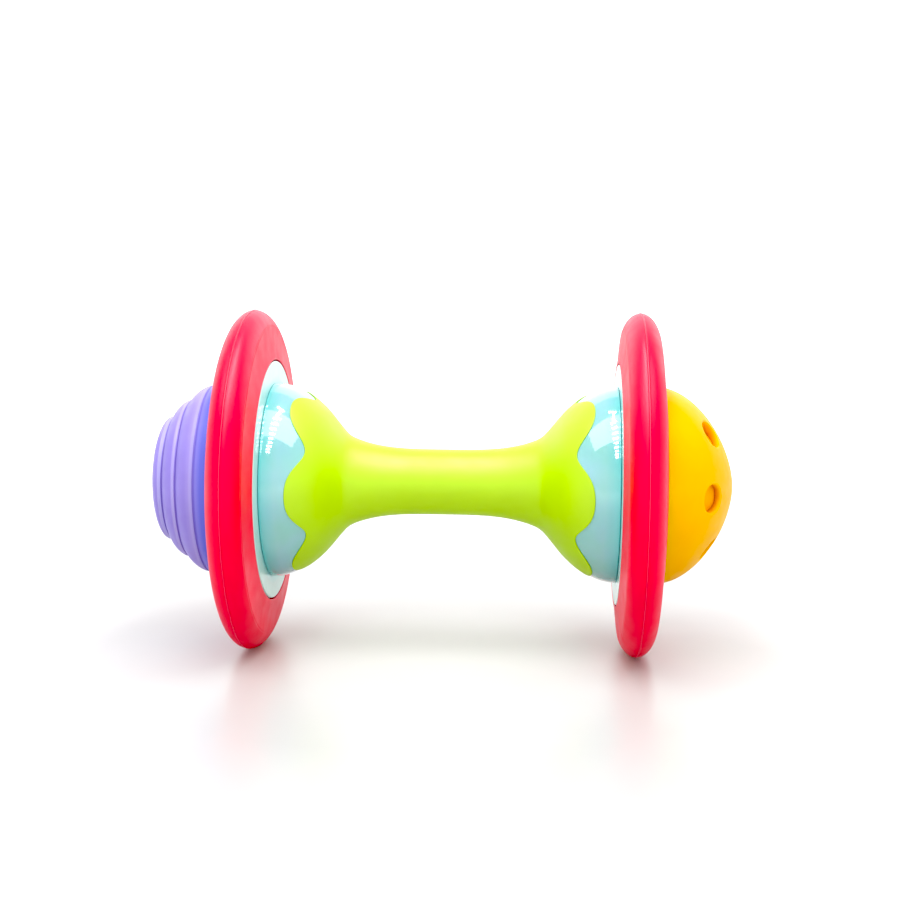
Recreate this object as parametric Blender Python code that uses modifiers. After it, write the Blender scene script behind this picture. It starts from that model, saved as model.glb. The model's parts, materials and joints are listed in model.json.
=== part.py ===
"""Dumbbell baby rattle: a scalloped grip, two bells, two spinning rings and two rattling end domes.

Units are metres and +Z is up. The rattle lies on its two rings with its axis along X: the ribbed dome
is at -X and the perforated dome at +X. Lengths along the axis are measured outwards from the middle
of the waist, and each half is built in a frame whose local +Z points outwards along the axis.
"""
import math

import bmesh
import bpy
from mathutils import Matrix

MM = 0.001

# Driving dimensions.
RING_RADIUS = 45.5 * MM
WHEEL_PLANE = 51.3 * MM          # middle of a ring, from the middle of the waist
WHEEL_HALF = 5.55 * MM           # half the thickness of a hub, face to face
WAIST_RADIUS = 8.75 * MM
BELL_RADIUS = 26.1 * MM
BELL_DEPTH = 20.5 * MM           # the rounded part of a bell, along the axis
DOME_RADIUS = 26.0 * MM
RIBBED_TIP = 78.5 * MM
PERFORATED_TIP = 76.85 * MM
CLEARANCE = 0.3 * MM             # between pieces that touch or run on each other

# Bells and the plates that close them.
WALL = 1.7 * MM
STEM_WALL = 1.5 * MM
RIM_WALL = 1.8 * MM
LEDGE_WIDTH = 1.0 * MM           # that the plate seats against
RIM_GAP = 0.4 * MM               # from a bell's rim to the hub
PLATE_THICKNESS = 2.05 * MM
WASHER_RECESS = 1.0 * MM
WASHER_RADIUS = 14.0 * MM
JOURNAL_RADIUS = 9.0 * MM
JOURNAL_WALL = 1.8 * MM
PILOT_RADIUS = 1.5 * MM          # of the hole that the dome's screw bites in

# Rings: two hub discs with the tyre clamped between their flanges.
HUB_RADIUS = 32.0 * MM
HUB_BORE = JOURNAL_RADIUS + 0.4 * MM
HUB_SKIN = 2.0 * MM
FLANGE_RADIUS = 39.5 * MM
FLANGE_INSIDE = 1.5 * MM         # from the wheel's middle plane
FLANGE_OUTSIDE = 2.4 * MM
TUBE_RADIUS = 11.0 * MM

# The grip's scalloped ends.
LOBES = 6
LOBE_TURN = math.radians(-3.0)   # first lobe, above the horizontal on the -Y side
LOBE_MIDDLE = 37.5 * MM
LOBE_HEIGHT = 2.3 * MM
LOBE_SHARPNESS = 0.35 * MM
GRIP_WALL_WAIST = 1.8 * MM
GRIP_WALL_LIP = 0.4 * MM
GRIP_STATIONS = [row * MM for row in (0.0, 13.0, 19.0, 23.0, 26.0, 28.5, 31.5)]

# End domes.
BASE_THICKNESS = 1.8 * MM
BASE_LIP = 2.0 * MM
BASE_RADIUS = DOME_RADIUS - 1.8 * MM
TERRACES = [(25.0 * MM, 62.5 * MM), (21.35 * MM, 68.25 * MM), (16.3 * MM, 73.3 * MM)]
TERRACE_STEP = 1.05 * MM
HOLES = 6
HOLE_RADIUS = 3.6 * MM
HOLE_PLACE = (18.45 * MM, 70.05 * MM)
HOLE_TILT = math.radians(45.0)

# Beads, lying side by side in the bottom of each dome.
BEADS = 3
BEAD_SPREAD = math.radians(30.0)
BEAD_PLANE = 62.9 * MM
LEFT_BEAD_RADIUS = 3.0 * MM
LEFT_BEAD_DROP = 18.4 * MM       # from the axis to a bead's middle
RIGHT_BEAD_RADIUS = 3.2 * MM
RIGHT_BEAD_DROP = 14.6 * MM

SEGMENTS = 36
SMALL_SEGMENTS = 24
SCREW_SEGMENTS = 12
HALF_FACET = math.pi / SEGMENTS

# Derived places.
HUB_FACE = WHEEL_PLANE - WHEEL_HALF
HUB_BACK = WHEEL_PLANE + WHEEL_HALF
BELL_RIM = HUB_FACE - RIM_GAP
PLATE_BACK = BELL_RIM - PLATE_THICKNESS
RECESS_FLOOR = BELL_RIM - WASHER_RECESS
DOME_RIM = HUB_BACK + CLEARANCE
JOURNAL_END = DOME_RIM
BASE_FACE = JOURNAL_END + CLEARANCE
BASE_TOP = BASE_FACE + BASE_THICKNESS
AXIS_HEIGHT = RING_RADIUS * math.cos(HALF_FACET)     # the lowest facet of a ring lies on the floor
WAIST_X = (RIBBED_TIP - PERFORATED_TIP) / 2          # puts the origin under the middle of the length

COLOURS = {
    "lime_grip": ((0.55, 0.83, 0.01), 0.5, 0.0),
    "aqua_bell": ((0.40, 0.78, 0.76), 0.15, 0.0),
    "pale_hub": ((0.62, 0.86, 0.84), 0.2, 0.0),
    "red_tyre": ((0.90, 0.01, 0.06), 0.6, 0.0),
    "purple_dome": ((0.38, 0.30, 0.80), 0.45, 0.0),
    "yellow_dome": ((1.0, 0.55, 0.0), 0.4, 0.0),
    "orange_capsule": ((1.0, 0.30, 0.0), 0.4, 0.0),
    "white_plastic": ((0.85, 0.85, 0.83), 0.4, 0.0),
    "bead_plastic": ((0.90, 0.90, 0.88), 0.2, 0.0),
    "screw_steel": ((0.60, 0.60, 0.62), 0.35, 1.0),
}


def clear_scene():
    for scene_object in list(bpy.data.objects):
        bpy.data.objects.remove(scene_object, do_unlink=True)


def new_collection(name):
    collection = bpy.data.collections.new(name)
    bpy.context.scene.collection.children.link(collection)
    return collection


def make_material(name):
    colour, roughness, metallic = COLOURS[name]
    material = bpy.data.materials.new(name)
    material.use_nodes = True
    shader = material.node_tree.nodes["Principled BSDF"]
    shader.inputs["Base Color"].default_value = (*colour, 1.0)
    shader.inputs["Roughness"].default_value = roughness
    shader.inputs["Metallic"].default_value = metallic
    return material


def add_empty(name, location, turn=0.0, parent=None):
    empty = bpy.data.objects.new(name, None)
    empty.empty_display_size = 10 * MM
    empty.location = location
    empty.rotation_euler = (0.0, turn, 0.0)
    empty.parent = parent
    PARTS.objects.link(empty)
    return empty


def add_part(name, mesh, material, parent, location=(0.0, 0.0, 0.0)):
    part = bpy.data.objects.new(name, mesh)
    part.parent = parent
    part.location = location
    mesh.materials.append(material)
    PARTS.objects.link(part)
    return part


def turned(name, profile, material, parent, closed=True, segments=SEGMENTS, phase=0.0):
    """Turn a profile of (radius, height) points about local Z; it runs down its outer side."""
    mesh = bpy.data.meshes.new(name)
    points = [(r * math.cos(phase), r * math.sin(phase), height) for r, height in profile]
    edges = [(i, i + 1) for i in range(len(points) - 1)]
    if closed:
        edges.append((len(points) - 1, 0))
    mesh.from_pydata(points, edges, [])
    part = add_part(name, mesh, material, parent)
    screw = part.modifiers.new("Turn", "SCREW")
    screw.axis = "Z"
    screw.angle = math.tau
    screw.steps = segments
    screw.render_steps = segments
    screw.use_merge_vertices = True
    screw.merge_threshold = 0.01 * MM
    return part


def smooth_step(low, high, value):
    t = min(max((value - low) / (high - low), 0.0), 1.0)
    return t * t * (3.0 - 2.0 * t)


def elliptic_arc(start, end, steps):
    """Points of (radius, height) on a quarter ellipse: level with the axis at start, across it at end."""
    points = []
    for i in range(steps + 1):
        angle = math.pi / 2 * i / steps
        radius = end[0] + (start[0] - end[0]) * math.cos(angle)
        height = start[1] + (end[1] - start[1]) * math.sin(angle)
        points.append((radius, height))
    return points


def bulged_arc(start, end, bulge, steps):
    """Points from start to end on a shallow curve that stands out from the chord by bulge."""
    run = (end[0] - start[0], end[1] - start[1])
    length = math.hypot(*run)
    outward = (run[1] / length, -run[0] / length)
    points = []
    for i in range(steps + 1):
        t = i / steps
        lift = 4.0 * bulge * t * (1.0 - t)
        points.append((start[0] + run[0] * t + outward[0] * lift, start[1] + run[1] * t + outward[1] * lift))
    return points


def handle_radius(distance):
    """Outer radius of grip and bell together: a gently flared waist that runs into a rounded bell."""
    flare = (min(distance, 28.0 * MM) / (20.0 * MM)) ** 4 * MM
    waist = (WAIST_RADIUS + flare) / BELL_RADIUS
    reach = min((BELL_RIM - distance) / BELL_DEPTH, 1.0)
    bell = math.sqrt(1.0 - reach * reach)
    return BELL_RADIUS * (bell ** 8 + waist ** 8) ** 0.125


def below_handle_surface(distance, depth):
    """Point of (radius, distance) that lies square below the handle's outer surface."""
    step = 0.05 * MM
    rise = handle_radius(distance + step) - handle_radius(distance - step)
    slope = math.atan2(rise, 2.0 * step)
    if distance + step > BELL_RIM:
        slope = 0.0
    return (handle_radius(distance) - depth * math.cos(slope), distance + depth * math.sin(slope))


def grip_wall(distance):
    thinning = smooth_step(14.0 * MM, 27.0 * MM, distance)
    return GRIP_WALL_WAIST + (GRIP_WALL_LIP - GRIP_WALL_WAIST) * thinning


def lobe_edge(angle):
    """Distance of the grip's scalloped edge from the middle of the waist."""
    wave = LOBES * (angle - LOBE_TURN)
    return LOBE_MIDDLE + LOBE_HEIGHT * math.cos(wave) - LOBE_SHARPNESS * math.cos(2.0 * wave)


def make_grip_sleeve(parent):
    """Soft sleeve: a grid wrapped round the waist, its ends drawn out to the lobes."""
    rows_each_side = len(GRIP_STATIONS) + 1
    grid = bmesh.new()
    bmesh.ops.create_grid(grid, x_segments=2 * rows_each_side, y_segments=SEGMENTS, size=1.0)
    for vertex in grid.verts:
        row = round(vertex.co.x * rows_each_side)
        angle = LOBE_TURN + math.pi * (vertex.co.y + 1.0)
        edge = lobe_edge(angle)
        stations = GRIP_STATIONS + [(GRIP_STATIONS[-1] + edge) / 2, edge]
        distance = stations[abs(row)]
        radius = handle_radius(distance)
        vertex.co = (math.copysign(distance, row), -radius * math.cos(angle), radius * math.sin(angle))
    bmesh.ops.remove_doubles(grid, verts=grid.verts, dist=0.01 * MM)
    mesh = bpy.data.meshes.new("grip_sleeve")
    grid.to_mesh(mesh)
    grid.free()
    mesh.shade_smooth()
    sleeve = add_part("grip_sleeve", mesh, MATERIALS["lime_grip"], parent)
    walls = sleeve.vertex_groups.new(name="wall")
    for vertex in mesh.vertices:
        walls.add([vertex.index], grip_wall(abs(vertex.co.x)) / GRIP_WALL_WAIST, "REPLACE")
    solidify = sleeve.modifiers.new("Wall", "SOLIDIFY")
    solidify.thickness = GRIP_WALL_WAIST
    solidify.offset = -1.0
    solidify.use_even_offset = True
    solidify.vertex_group = "wall"
    return sleeve


def make_bell(name, frame, side):
    """Hollow bell with a stem that runs to the middle of the waist inside the grip."""
    outer = []
    for station in (43.6, 42.2, 40.0, 38.0, 35.0, 31.5, 28.5, 26.0, 23.0, 19.0, 13.0):
        distance = station * MM
        covered = 1.0 - smooth_step(40.0 * MM, 42.2 * MM, distance)
        outer.append(below_handle_surface(distance, (grip_wall(distance) + CLEARANCE) * covered))
    inner = []
    for station in (13.0, 20.0, 25.0, 28.5, 32.5, 37.0):
        distance = station * MM
        inner.append(below_handle_surface(distance, grip_wall(distance) + CLEARANCE + WALL))
    stem_outer = outer[-1][0]
    stem_inner = stem_outer - STEM_WALL
    stem_end = CLEARANCE / 2
    inner[0] = (stem_inner, inner[0][1])
    mouth = BELL_RADIUS - RIM_WALL
    ledge = PLATE_BACK - CLEARANCE
    profile = [(BELL_RADIUS, BELL_RIM)]
    profile += outer
    profile += [(stem_outer, stem_end), (stem_inner, stem_end)]
    profile += inner
    profile += [(mouth - LEDGE_WIDTH, ledge), (mouth, ledge), (mouth, BELL_RIM)]
    return turned(name, profile, MATERIALS["aqua_bell"], frame, phase=-side * LOBE_TURN)


def make_handle_coupler(frame):
    """Tube that joins the two stems inside the grip."""
    outer = 4.85 * MM
    inner = 3.6 * MM
    half_length = 12.5 * MM
    profile = [(outer, half_length), (outer, -half_length), (inner, -half_length), (inner, half_length)]
    return turned("handle_coupler", profile, MATERIALS["white_plastic"], frame, segments=SMALL_SEGMENTS)


def make_bearing_plate(name, frame):
    """Plate that closes a bell, with the journal that the ring turns on and a boss for the dome's screw."""
    plate_radius = BELL_RADIUS - RIM_WALL - CLEARANCE
    recess_radius = WASHER_RADIUS + 0.4 * MM
    boss_radius = 3.4 * MM
    chamfer = 0.4 * MM
    bore = JOURNAL_RADIUS - JOURNAL_WALL
    end_wall = JOURNAL_END - JOURNAL_WALL
    pilot_floor = BELL_RIM + 2.0 * MM
    profile = [
        (0.0, pilot_floor),
        (PILOT_RADIUS, pilot_floor),
        (PILOT_RADIUS, JOURNAL_END),
        (JOURNAL_RADIUS - chamfer, JOURNAL_END),
        (JOURNAL_RADIUS, JOURNAL_END - chamfer),
        (JOURNAL_RADIUS, RECESS_FLOOR),
        (recess_radius, RECESS_FLOOR),
        (recess_radius, BELL_RIM),
        (plate_radius, BELL_RIM),
        (plate_radius, PLATE_BACK),
        (bore, PLATE_BACK),
        (bore, end_wall),
        (boss_radius, end_wall),
        (boss_radius, BELL_RIM),
        (0.0, BELL_RIM),
    ]
    return turned(name, profile, MATERIALS["white_plastic"], frame, closed=False, segments=SMALL_SEGMENTS)


def make_thrust_washer(name, frame):
    """Slip washer between the bearing plate and the ring's hub."""
    low = RECESS_FLOOR + CLEARANCE
    high = HUB_FACE - CLEARANCE
    inner = JOURNAL_RADIUS + CLEARANCE
    profile = [(WASHER_RADIUS, high), (WASHER_RADIUS, low), (inner, low), (inner, high)]
    return turned(name, profile, MATERIALS["white_plastic"], frame, segments=SMALL_SEGMENTS)


def hub_rim(side):
    """Face edge, rim and flange of a hub disc, from its face inwards; side is -1 towards the bell."""
    chamfer = 0.4 * MM
    web_radius = HUB_RADIUS - 2.0 * MM
    flange_root = FLANGE_OUTSIDE + 0.85 * MM
    return [
        (HUB_RADIUS - chamfer, side * WHEEL_HALF),
        (HUB_RADIUS, side * (WHEEL_HALF - chamfer)),
        (HUB_RADIUS, side * flange_root),
        (FLANGE_RADIUS, side * FLANGE_OUTSIDE),
        (FLANGE_RADIUS, side * FLANGE_INSIDE),
        (web_radius, side * FLANGE_INSIDE),
        (web_radius, side * (WHEEL_HALF - HUB_SKIN)),
    ]


def make_inner_hub(name, wheel):
    """Hub disc on the bell's side: bearing tube, web and the flange that holds the tyre."""
    tube_end = 3.2 * MM
    profile = [
        (HUB_BORE, tube_end),
        (TUBE_RADIUS, tube_end),
        (TUBE_RADIUS, HUB_SKIN - WHEEL_HALF),
        *reversed(hub_rim(-1)),
        (HUB_BORE, -WHEEL_HALF),
    ]
    return turned(name, profile, MATERIALS["pale_hub"], wheel, phase=HALF_FACET)


def make_outer_hub(name, wheel):
    """Hub disc on the dome's side: its collar presses over the inner hub's tube."""
    skin = WHEEL_HALF - HUB_SKIN
    collar_bore = TUBE_RADIUS + 0.4 * MM
    collar_radius = collar_bore + 1.6 * MM
    profile = [
        *hub_rim(1),
        (collar_radius, skin),
        (collar_radius, 0.0),
        (collar_bore, 0.0),
        (collar_bore, skin),
        (HUB_BORE, skin),
        (HUB_BORE, WHEEL_HALF),
    ]
    return turned(name, profile, MATERIALS["pale_hub"], wheel, phase=HALF_FACET)


def make_tyre(name, wheel):
    """Soft ring: a crowned tread and two dished flanks, hollow between its lips."""
    bore = HUB_RADIUS + CLEARANCE
    shoulder = elliptic_arc((RING_RADIUS, 1.8 * MM), (43.2 * MM, 4.15 * MM), 3)
    outer = [(bore, WHEEL_HALF), (42.2 * MM, 4.35 * MM), *reversed(shoulder)]
    outer += [(radius, -height) for radius, height in reversed(outer)]
    lip = (bore, HUB_SKIN - WHEEL_HALF)
    hollow = [lip, (FLANGE_RADIUS + 1.0 * MM, -2.6 * MM), (42.9 * MM, -1.6 * MM)]
    hollow += [(radius, -height) for radius, height in reversed(hollow)]
    return turned(name, outer + hollow, MATERIALS["red_tyre"], wheel, phase=HALF_FACET)


def make_dome_base(name, frame):
    """Plate that closes a dome's rattling chamber, held on the journal by one screw."""
    screw_hole = 1.8 * MM
    lip_inside = BASE_RADIUS - 1.6 * MM
    profile = [
        (screw_hole, BASE_TOP),
        (lip_inside, BASE_TOP),
        (lip_inside, BASE_TOP + BASE_LIP),
        (BASE_RADIUS, BASE_TOP + BASE_LIP),
        (BASE_RADIUS, BASE_FACE),
        (screw_hole, BASE_FACE),
    ]
    return turned(name, profile, MATERIALS["white_plastic"], frame)


def make_dome_screw(name, frame):
    """Pan-head screw on the axis, from inside the dome into the journal's boss."""
    under_head = BASE_TOP + CLEARANCE
    head_top = under_head + 1.9 * MM
    head_radius = 3.0 * MM
    shank_radius = PILOT_RADIUS - CLEARANCE
    profile = [
        (0.0, head_top),
        (head_radius - 0.8 * MM, head_top),
        (head_radius, head_top - 0.7 * MM),
        (head_radius, under_head),
        (shank_radius, under_head),
        (shank_radius, under_head - 8.0 * MM),
        (0.0, under_head - 9.5 * MM),
    ]
    return turned(name, profile, MATERIALS["screw_steel"], frame, closed=False, segments=SCREW_SEGMENTS)


def dome_socket():
    """Inside of either dome's rim, where its base fits; it runs up from the rim."""
    bore = BASE_RADIUS + CLEARANCE
    return [(bore, DOME_RIM), (bore, BASE_TOP + BASE_LIP + CLEARANCE)]


def make_ribbed_dome(frame):
    """Terraced end dome: each terrace is a short step and a rounded face."""
    bulges = [0.3 * MM, 0.65 * MM]
    outline = bulged_arc((DOME_RADIUS, DOME_RIM), TERRACES[0], 0.25 * MM, 2)
    for index, bulge in enumerate(bulges):
        radius, distance = TERRACES[index]
        step_end = (radius - 0.1 * MM, distance + TERRACE_STEP)
        outline += bulged_arc(step_end, TERRACES[index + 1], bulge, 3)
    radius, distance = TERRACES[-1]
    outline += elliptic_arc((radius - 0.4 * MM, distance + TERRACE_STEP), (0.0, RIBBED_TIP), 5)
    chamber_foot = (22.2 * MM, BASE_TOP + BASE_LIP + 2 * CLEARANCE)
    chamber = elliptic_arc(chamber_foot, (0.0, RIBBED_TIP - 2.4 * MM), 7)
    profile = list(reversed(outline)) + dome_socket() + chamber
    return turned("ribbed_dome", profile, MATERIALS["purple_dome"], frame, closed=False)


def make_perforated_dome(frame):
    """End dome with a ring of sound holes through its sloping shoulder."""
    shoulder = bulged_arc((DOME_RADIUS, DOME_RIM), (22.9 * MM, 65.6 * MM), 0.75 * MM, 3)
    cone_end = bulged_arc((15.9 * MM, 72.3 * MM), (9.3 * MM, 75.2 * MM), 0.6 * MM, 3)
    cap = elliptic_arc((8.6 * MM, 75.3 * MM), (0.0, PERFORATED_TIP), 4)
    outline = shoulder + cone_end + cap
    inside = [(23.4, 61.9), (21.3, 64.8), (14.9, 71.0), (10.5, 73.3), (5.5, 74.5), (0.0, 74.9)]
    chamber = [(r * MM, h * MM) for r, h in inside]
    profile = list(reversed(outline)) + dome_socket() + chamber
    dome = turned("perforated_dome", profile, MATERIALS["yellow_dome"], frame, closed=False)
    for index in range(HOLES):
        cutter = make_hole_cutter(index, frame)
        boolean = dome.modifiers.new("Sound hole", "BOOLEAN")
        boolean.operation = "DIFFERENCE"
        boolean.object = cutter
    return dome


def make_hole_cutter(index, frame):
    drill = bmesh.new()
    bmesh.ops.create_cone(
        drill, cap_ends=True, segments=SCREW_SEGMENTS, radius1=HOLE_RADIUS, radius2=HOLE_RADIUS,
        depth=6.0 * MM,
    )
    mesh = bpy.data.meshes.new("hole_cutter")
    drill.to_mesh(mesh)
    drill.free()
    cutter = bpy.data.objects.new(f"hole_cutter_{index + 1}", mesh)
    cutter.display_type = "WIRE"
    cutter.hide_render = True
    cutter.parent = frame
    radius, height = HOLE_PLACE
    around = -math.pi / 2 - LOBE_TURN + math.tau * index / HOLES
    place = Matrix.Rotation(around, 4, "Z") @ Matrix.Translation((radius, 0.0, height))
    cutter.matrix_local = place @ Matrix.Rotation(HOLE_TILT, 4, "Y")
    CUTTERS.objects.link(cutter)
    return cutter


def make_bead_capsule(frame):
    """Cup behind the sound holes; with the dome's base it keeps the beads in."""
    foot = BASE_TOP + CLEARANCE
    outside = [(0.0, 73.6), (5.0, 73.2), (9.5, 72.2), (13.9, 69.9), (20.8, 63.2), (22.3, 61.5)]
    inside = [(21.2, 61.3), (19.9, 62.6), (13.1, 69.2), (9.0, 71.2), (4.8, 72.1), (0.0, 72.4)]
    profile = [(r * MM, h * MM) for r, h in outside]
    profile += [(22.3 * MM, foot), (21.2 * MM, foot)]
    profile += [(r * MM, h * MM) for r, h in inside]
    return turned("bead_capsule", profile, MATERIALS["orange_capsule"], frame, closed=False,
                  segments=SMALL_SEGMENTS)


def make_beads(prefix, side, radius, drop):
    """Beads lying side by side in the bottom of a dome's chamber."""
    ball = bmesh.new()
    bmesh.ops.create_uvsphere(ball, u_segments=SCREW_SEGMENTS, v_segments=8, radius=radius)
    mesh = bpy.data.meshes.new(prefix)
    ball.to_mesh(mesh)
    ball.free()
    mesh.shade_smooth()
    mesh.materials.append(MATERIALS["bead_plastic"])
    for index in range(BEADS):
        sideways = BEAD_SPREAD * (index - (BEADS - 1) / 2)
        bead = bpy.data.objects.new(f"{prefix}_{index + 1}", mesh)
        bead.location = (
            WAIST_X + side * BEAD_PLANE,
            drop * math.sin(sideways),
            AXIS_HEIGHT - drop * math.cos(sideways),
        )
        PARTS.objects.link(bead)


def make_wheel(prefix, frame):
    """Spinning ring: two hub discs and the tyre, on an empty at the joint's axis."""
    wheel = add_empty(f"{prefix}_wheel_axis", (0.0, 0.0, WHEEL_PLANE), parent=frame)
    make_inner_hub(f"{prefix}_hub_inner", wheel)
    make_outer_hub(f"{prefix}_hub_outer", wheel)
    make_tyre(f"{prefix}_tyre", wheel)


def make_half(prefix, frame, side):
    make_bell(f"{prefix}_bell", frame, side)
    make_bearing_plate(f"{prefix}_bearing_plate", frame)
    make_thrust_washer(f"{prefix}_thrust_washer", frame)
    make_wheel(prefix, frame)
    make_dome_base(f"{prefix}_dome_base", frame)
    make_dome_screw(f"{prefix}_dome_screw", frame)


def build_rattle():
    waist = (WAIST_X, 0.0, AXIS_HEIGHT)
    middle_frame = add_empty("waist_frame", waist)
    left_frame = add_empty("left_frame", waist, turn=-math.pi / 2)
    right_frame = add_empty("right_frame", waist, turn=math.pi / 2)
    make_grip_sleeve(middle_frame)
    make_handle_coupler(right_frame)
    make_half("left", left_frame, -1)
    make_half("right", right_frame, 1)
    make_ribbed_dome(left_frame)
    make_perforated_dome(right_frame)
    make_bead_capsule(right_frame)
    make_beads("left_bead", -1, LEFT_BEAD_RADIUS, LEFT_BEAD_DROP)
    make_beads("right_bead", 1, RIGHT_BEAD_RADIUS, RIGHT_BEAD_DROP)
    bpy.context.view_layer.update()


clear_scene()
PARTS = new_collection("baby_rattle")
CUTTERS = new_collection("cutters")
MATERIALS = {name: make_material(name) for name in COLOURS}
build_rattle()
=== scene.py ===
"""Looks of the dumbbell baby rattle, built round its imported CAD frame.

Every visible shell is rebuilt here as a smooth, finely sampled piece in the place of its faceted CAD
solid. The hidden inner solids stay as they are and only get better materials. Places along the rattle
are given as a distance from the middle of the waist, a radius, and an angle above the -Y direction.
"""

import json
import math

import bmesh
import bpy
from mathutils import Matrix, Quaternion, Vector


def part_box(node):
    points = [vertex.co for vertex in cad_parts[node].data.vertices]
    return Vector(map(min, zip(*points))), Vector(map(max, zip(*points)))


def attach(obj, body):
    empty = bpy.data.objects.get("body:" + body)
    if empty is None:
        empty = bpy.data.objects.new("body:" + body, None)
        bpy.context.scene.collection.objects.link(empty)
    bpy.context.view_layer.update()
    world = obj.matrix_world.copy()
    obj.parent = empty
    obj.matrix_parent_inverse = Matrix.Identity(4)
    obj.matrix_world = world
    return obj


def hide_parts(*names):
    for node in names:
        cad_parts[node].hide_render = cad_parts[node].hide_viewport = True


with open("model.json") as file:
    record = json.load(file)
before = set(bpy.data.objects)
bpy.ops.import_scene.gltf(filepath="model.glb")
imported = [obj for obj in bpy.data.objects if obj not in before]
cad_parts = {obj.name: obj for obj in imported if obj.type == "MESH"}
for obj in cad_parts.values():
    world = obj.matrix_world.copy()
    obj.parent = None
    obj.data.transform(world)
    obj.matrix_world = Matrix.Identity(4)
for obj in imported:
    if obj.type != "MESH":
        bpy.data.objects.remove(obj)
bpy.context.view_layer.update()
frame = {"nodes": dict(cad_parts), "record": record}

MM = 0.001
LEFT = -1
RIGHT = 1
TYRE_FACETS = 36                     # flats round a tyre of the CAD

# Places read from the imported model.
left_tyre_low, left_tyre_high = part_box("left_tyre")
right_tyre_low, right_tyre_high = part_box("right_tyre")
LEFT_PLANE = (left_tyre_low.x + left_tyre_high.x) / 2
RIGHT_PLANE = (right_tyre_low.x + right_tyre_high.x) / 2
WAIST_X = (LEFT_PLANE + RIGHT_PLANE) / 2
AXIS_Z = (left_tyre_low.z + left_tyre_high.z) / 2
WHEEL_PLANE = (RIGHT_PLANE - LEFT_PLANE) / 2
WHEEL_HALF = (left_tyre_high.x - left_tyre_low.x) / 2
RING_RADIUS = (left_tyre_high.y - left_tyre_low.y) / 2 / math.cos(math.pi / TYRE_FACETS)
RIBBED_BOX_TIP = WAIST_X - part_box("ribbed_dome")[0].x
PERFORATED_BOX_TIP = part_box("perforated_dome")[1].x - WAIST_X
BELL_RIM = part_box("right_bell")[1].x - WAIST_X
DOME_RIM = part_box("perforated_dome")[0].x - WAIST_X
BASE_TIP = WAIST_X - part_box("left_dome_base")[0].x
CAPSULE_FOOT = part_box("bead_capsule")[0].x - WAIST_X
FLOOR_Z = AXIS_Z - RING_RADIUS - 0.03 * MM     # the parting lines of the treads sink into it

# Shared sizes, the same as in the CAD.
CLEARANCE = 0.3 * MM                 # between pieces that touch or run on each other
WAIST_RADIUS = 8.75 * MM
BELL_RADIUS = 26.1 * MM
DOME_RADIUS = 26.0 * MM
HUB_RADIUS = 32.0 * MM

# Outer curve of grip and bell, a little finer than the CAD's.
FLARE_END = 28.0 * MM                # the waist widens no further than here, inside the bell
FLARE_BY_1_MM = 18.1 * MM            # where the waist is 1 mm wider than at its middle
FLARE_POWER = 3.5
BELL_DEPTH = 23.7 * MM               # the rounded part of a bell, along the axis
BELL_POWERS = (1.85, 0.74)           # superellipse of a bell's back
BELL_BLEND = 12.0                    # how tightly the waist turns into the bell

# Soft grip.
LOBES = 6
LOBE_TURN = math.radians(-3.0)       # of the first lobe, above the -Y direction
LOBE_MIDDLE = 37.5 * MM              # of the scalloped edge, from the middle of the waist
LOBE_HEIGHT = 2.3 * MM
LOBE_SHARPNESS = 0.35 * MM
GRIP_WALL_WAIST = 1.8 * MM
GRIP_WALL_LIP = 0.4 * MM
GRIP_THINS = (14.0 * MM, 27.0 * MM)  # where its wall goes from the one to the other
LIP_PROUD = 0.25 * MM
LIP_FILM = 0.03 * MM                 # under the lip, between it and the bell
LIP_RISES = (26.0 * MM, 33.0 * MM)   # where the grip comes to stand proud
GRIP_PLAIN_END = 31.5 * MM           # rows past this bend with the lobes

# Bell shells.
BELL_EMERGES = (32.0 * MM, 34.6 * MM)          # where a bell comes up from under the grip
BELL_HOLLOW = (20.0 * MM, 37.0 * MM)           # where its inside follows its outside
BELL_WALL = 1.7 * MM
BELL_RIM_WALL = 1.8 * MM
STEM_WALL = 1.5 * MM
STEM_END = 0.15 * MM
STEM_MOUTH = 13.0 * MM
LEDGE_DEPTH = 2.35 * MM              # of the seat of the plate inside the rim
LEDGE_WIDTH = 1.0 * MM
RUNNING_GAP = 0.08 * MM              # drawn between a bell's rim and the hub

# Tyres. A half is measured from the middle plane of the ring.
TREAD_HALF = 4.95 * MM               # half axes of the elliptic crown
TREAD_RISE = 7.5 * MM
TREAD_END = math.radians(88.5)       # stops short of the parting line
CREASE_HALF = 4.4 * MM
CREASE_DEPTH = 0.12 * MM
CREASE_RADIUS = 41.2 * MM
FLANK_EDGE = 41.0 * MM
FLANK_FOOT = 33.0 * MM
FLANK_FOOT_HALF = 5.5 * MM
FLANK_DISH = 0.15 * MM
SEAM_HALF = 0.22 * MM
SEAM_HEIGHT = 0.10 * MM
SLOT_HALF = 3.55 * MM                # mouth of the slot that the hubs' flanges sit in
SLOT_END = (39.5 * MM, 2.6 * MM)     # radius and half width
SLOT_FLOOR = (42.4 * MM, 1.6 * MM)
TYRE_ROUNDING = 0.3 * MM

# Hub discs. The inner one has a tube that runs on the journal, the outer one a collar round that tube.
HUB_BORE = 9.4 * MM
HUB_SKIN = 2.0 * MM
HUB_HOLLOW_RADIUS = 30.0 * MM
FLANGE_RADIUS = 39.5 * MM
FLANGE_FOOT_HALF = 3.25 * MM
FLANGE_TIP_HALF = 2.4 * MM
FLANGE_INSIDE_HALF = 1.5 * MM
TUBE_RADIUS = 11.0 * MM
TUBE_END = 3.2 * MM                  # past the middle plane of the ring
COLLAR_INSIDE = 11.4 * MM
COLLAR_OUTSIDE = 13.0 * MM

# Both end domes.
DOME_RIM_WALL = 1.5 * MM
DOME_ROUNDING = 0.2 * MM

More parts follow.
